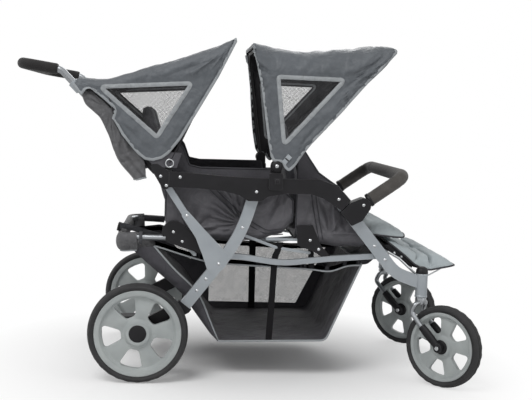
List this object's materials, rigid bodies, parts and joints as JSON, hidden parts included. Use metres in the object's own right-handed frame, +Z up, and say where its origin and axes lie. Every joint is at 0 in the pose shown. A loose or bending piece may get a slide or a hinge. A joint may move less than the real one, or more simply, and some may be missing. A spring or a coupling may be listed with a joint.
{
  "type": "four-seat stroller",
  "caption": "Wide tandem stroller with paired seats in two rows, two window canopies, folding push handle, foam bumper bar, open mesh basket and swivel front wheels.",
  "frame": {"origin": "on the ground, under the middle of the box round the whole stroller at rest", "axes": "+X forward, the way the stroller is pushed, +Y to the stroller's left (the picture's far side), +Z up"},
  "size_m": [1.4419, 0.83, 1.052],
  "materials": {
    "frame": "satin silver-grey paint on tube and flat bar",
    "axle": "plated steel",
    "plastic": "black moulded plastic",
    "tyre": "black rubber",
    "rim": "light grey moulded plastic",
    "grip": "black foam",
    "bumper": "dark warm grey foam",
    "canopy": "blue-grey woven nylon with light piping",
    "seat": "charcoal woven cloth, padded",
    "basket": "black nylon and pale mesh",
    "pad": "light blue-grey quilted cloth"
  },
  "bodies": {
    "chassis": {"rear_leg_near": "frame", "rear_leg_far": "frame", "gusset_near": "frame", "gusset_far": "frame", "rear_upright_near": "frame", "rear_upright_far": "frame", "front_leg_near": "frame", "front_leg_far": "frame", "lower_rail_near": "frame", "lower_rail_far": "frame", "rear_cross_tube": "frame", "front_cross_tube": "frame", "basket_bar": "frame", "rear_axle": "axle", "axle_bracket_near": "plastic", "axle_bracket_far": "plastic", "fold_joint_near": "plastic", "fold_joint_far": "plastic", "side_rail_near": "plastic", "side_rail_far": "plastic", "front_clamp_near": "plastic", "front_clamp_far": "plastic", "rear_seat_bracket_near": "plastic", "rear_seat_bracket_far": "plastic", "front_seat_bracket_near": "plastic", "front_seat_bracket_far": "plastic", "rear_seat": "seat", "front_seat": "seat", "basket": "basket", "calf_rest": "pad", "footrest_near": "pad", "footrest_far": "pad"},
    "handle": {"handle_tube_near": "frame", "handle_tube_far": "frame", "handle_grip": "grip"},
    "bumper": {"bumper_bar": "bumper"},
    "rear_canopy": {"rear_canopy_cover": "canopy", "rear_drape": "canopy", "rear_canopy_hub_near": "plastic", "rear_canopy_hub_far": "plastic"},
    "rear_bow": {"rear_canopy_bow": "frame"},
    "front_canopy": {"front_canopy_cover": "canopy", "front_canopy_rear_bow": "frame"},
    "front_bow": {"front_canopy_front_bow": "frame"},
    "brake": {"brake_pedal": "plastic"},
    "rear_wheel_near": {"rear_tyre_near": "tyre", "rear_rim_near": "rim"},
    "front_wheel_near": {"front_tyre_near": "tyre", "front_rim_near": "rim"},
    "castor_near": {"castor_fork_near": "frame"},
    "rear_back_near": {"rear_seat_back_near": "seat"},
    "front_back_near": {"front_seat_back_near": "seat"},
    "rear_wheel_far": {"rear_tyre_far": "tyre", "rear_rim_far": "rim"},
    "front_wheel_far": {"front_tyre_far": "tyre", "front_rim_far": "rim"},
    "castor_far": {"castor_fork_far": "frame"},
    "rear_back_far": {"rear_seat_back_far": "seat"},
    "front_back_far": {"front_seat_back_far": "seat"}
  },
  "joints": [
    {"name": "rear_spin_near", "type": "hinge", "parent": "chassis", "child": "rear_wheel_near", "pos_m": [-0.33424, -0.3081, 0.1525], "axis": [0, 1, 0], "continuous": true},
    {"name": "rear_spin_far", "type": "hinge", "parent": "chassis", "child": "rear_wheel_far", "pos_m": [-0.33424, 0.3919, 0.1525], "axis": [0, 1, 0], "continuous": true},
    {"name": "castor_swivel_near", "type": "hinge", "parent": "chassis", "child": "castor_near", "pos_m": [0.54776, -0.2561, 0.271], "axis": [0, 0, 1], "continuous": true},
    {"name": "front_spin_near", "type": "hinge", "parent": "castor_near", "child": "front_wheel_near", "pos_m": [0.61178, -0.31793, 0.128], "axis": [0.6947, 0.7193, 0], "continuous": true},
    {"name": "castor_swivel_far", "type": "hinge", "parent": "chassis", "child": "castor_far", "pos_m": [0.54776, 0.3399, 0.271], "axis": [0, 0, 1], "continuous": true},
    {"name": "front_spin_far", "type": "hinge", "parent": "castor_far", "child": "front_wheel_far", "pos_m": [0.61594, 0.28269, 0.128], "axis": [0.6428, 0.766, 0], "continuous": true},
    {"name": "handle_fold", "type": "hinge", "parent": "chassis", "child": "handle", "pos_m": [-0.27824, 0.0419, 0.63], "axis": [0, 1, 0], "range_deg": [0, 90]},
    {"name": "rear_canopy_fold", "type": "hinge", "parent": "chassis", "child": "rear_canopy", "pos_m": [-0.25224, 0.0419, 0.67], "axis": [0, 1, 0], "range_deg": [0, 45]},
    {"name": "front_canopy_fold", "type": "hinge", "parent": "chassis", "child": "front_canopy", "pos_m": [0.07276, 0.0419, 0.672], "axis": [0, 1, 0], "range_deg": [0, 45]},
    {"name": "rear_bow_close", "type": "hinge", "parent": "rear_canopy", "child": "rear_bow", "pos_m": [-0.25224, 0.0419, 0.67], "axis": [0, -1, 0], "range_deg": [0, 60], "deforming": ["rear_canopy_cover"]},
    {"name": "front_bow_close", "type": "hinge", "parent": "front_canopy", "child": "front_bow", "pos_m": [0.07276, 0.0419, 0.672], "axis": [0, -1, 0], "range_deg": [0, 50], "deforming": ["front_canopy_cover"]},
    {"name": "rear_recline_near", "type": "hinge", "parent": "chassis", "child": "rear_back_near", "pos_m": [-0.23824, -0.08925, 0.5178], "axis": [0, -1, 0], "range_deg": [0, 25], "deforming": ["rear_drape"]},
    {"name": "rear_recline_far", "type": "hinge", "parent": "chassis", "child": "rear_back_far", "pos_m": [-0.23824, 0.17305, 0.5178], "axis": [0, -1, 0], "range_deg": [0, 25]},
    {"name": "front_recline_near", "type": "hinge", "parent": "chassis", "child": "front_back_near", "pos_m": [0.16676, -0.08925, 0.4978], "axis": [0, -1, 0], "range_deg": [0, 25]},
    {"name": "front_recline_far", "type": "hinge", "parent": "chassis", "child": "front_back_far", "pos_m": [0.16676, 0.17305, 0.4978], "axis": [0, -1, 0], "range_deg": [0, 25]},
    {"name": "bumper_tilt", "type": "hinge", "parent": "chassis", "child": "bumper", "pos_m": [0.34576, 0.0419, 0.556], "axis": [0, 1, 0], "range_deg": [0, 35]},
    {"name": "brake_press", "type": "hinge", "parent": "chassis", "child": "brake", "pos_m": [-0.33424, 0.0419, 0.1525], "axis": [0, -1, 0], "range_deg": [0, 20]}
  ],
  "couplings": [
    {"joint": "rear_canopy_fold", "follows": "handle_fold", "ratio": 0.5},
    {"joint": "front_canopy_fold", "follows": "handle_fold", "ratio": 0.5}
  ]
}
